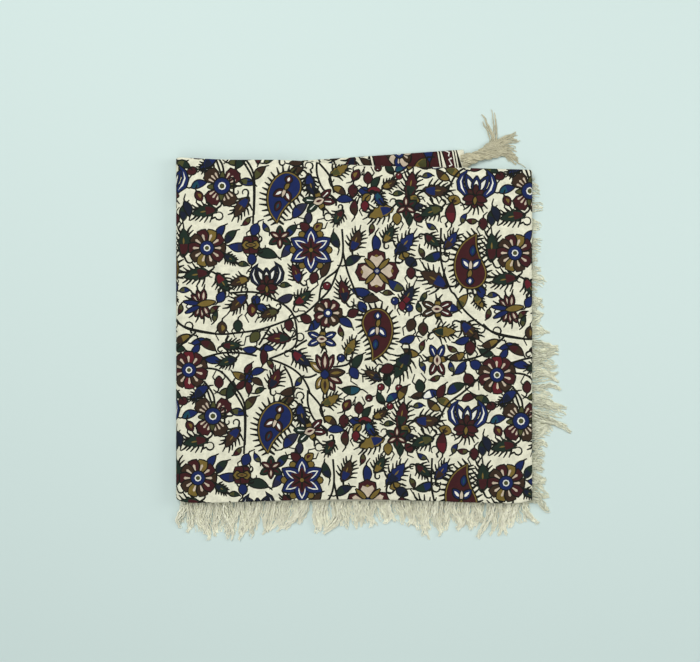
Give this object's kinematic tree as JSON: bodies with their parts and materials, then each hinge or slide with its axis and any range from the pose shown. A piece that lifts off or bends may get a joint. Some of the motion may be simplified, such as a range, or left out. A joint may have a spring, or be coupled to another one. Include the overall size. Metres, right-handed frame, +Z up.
{
  "type": "folded kalamkari panel",
  "caption": "Square printed cotton panel folded flat into a low square pile, with loose cotton yarn fringe along the front and right sides and a twisted yarn tassel at a back corner.",
  "frame": {"origin": "middle of the folded panel's flat underside, on the surface that it lies on", "axes": "+Z up through the layers, +X towards the side with the lowest layers' free fringe, +Y towards the back fold"},
  "size_m": [0.3863, 0.417, 0.0135],
  "materials": {
    "printed_cotton": "matt plain-weave cotton, block-printed with madder red, indigo, ochre, green and black",
    "cotton_yarn": "undyed soft cotton yarn"
  },
  "bodies": {
    "root": {"printed_panel": "printed_cotton", "front_fringe": "cotton_yarn", "side_fringe": "cotton_yarn", "corner_tassel": "cotton_yarn"}
  },
  "joints": []
}
